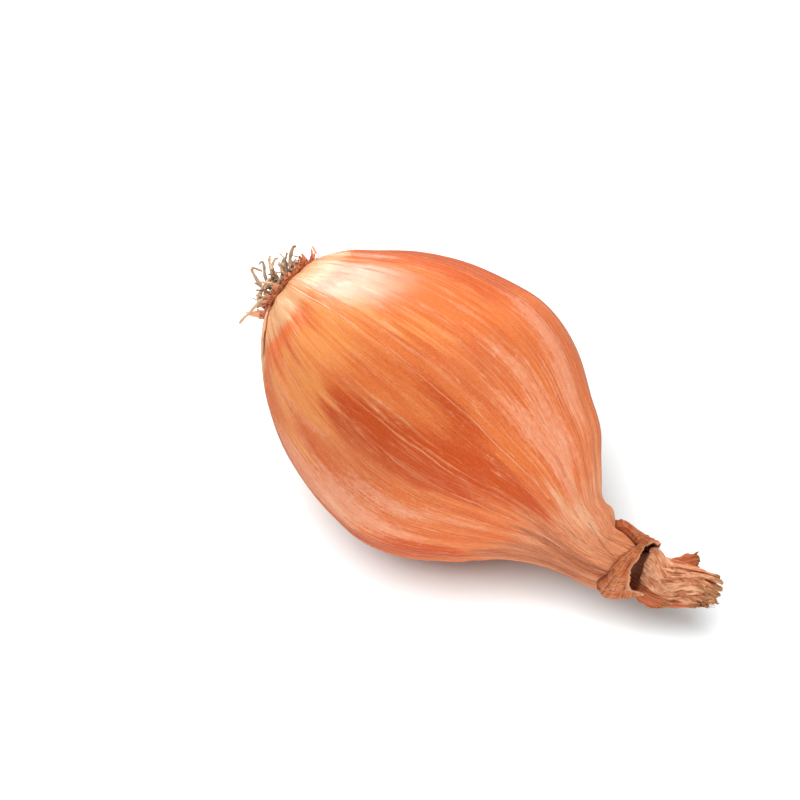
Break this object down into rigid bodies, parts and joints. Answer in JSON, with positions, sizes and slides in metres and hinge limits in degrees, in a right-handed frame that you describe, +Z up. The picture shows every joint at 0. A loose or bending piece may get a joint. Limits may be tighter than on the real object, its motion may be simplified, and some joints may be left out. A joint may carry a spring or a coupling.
{
  "type": "onion",
  "caption": "Whole dry onion in its papery skin, lying on its side, with a withered bent neck at one end and a tuft of dry roots at the other.",
  "frame": {"origin": "middle of the small flat spot that the onion lies on, under its weight", "axes": "+X along the onion from its root end to its neck, level with the surface; +Z up; the neck's end bends towards +Y"},
  "size_m": [0.1211, 0.0651, 0.0656],
  "materials": {
    "bulb_skin": "satin, with fine veins along the bulb",
    "cuff_skin": "matt, creased",
    "dry_leaves": "matt, fibrous",
    "dry_roots": "matt",
    "torn_skin": "matt, crumbly"
  },
  "bodies": {
    "root": {"bulb": "bulb_skin", "neck_cuff": "cuff_skin", "neck_leaves": "dry_leaves", "root_tuft": "dry_roots", "torn_skin": "torn_skin"}
  },
  "joints": []
}
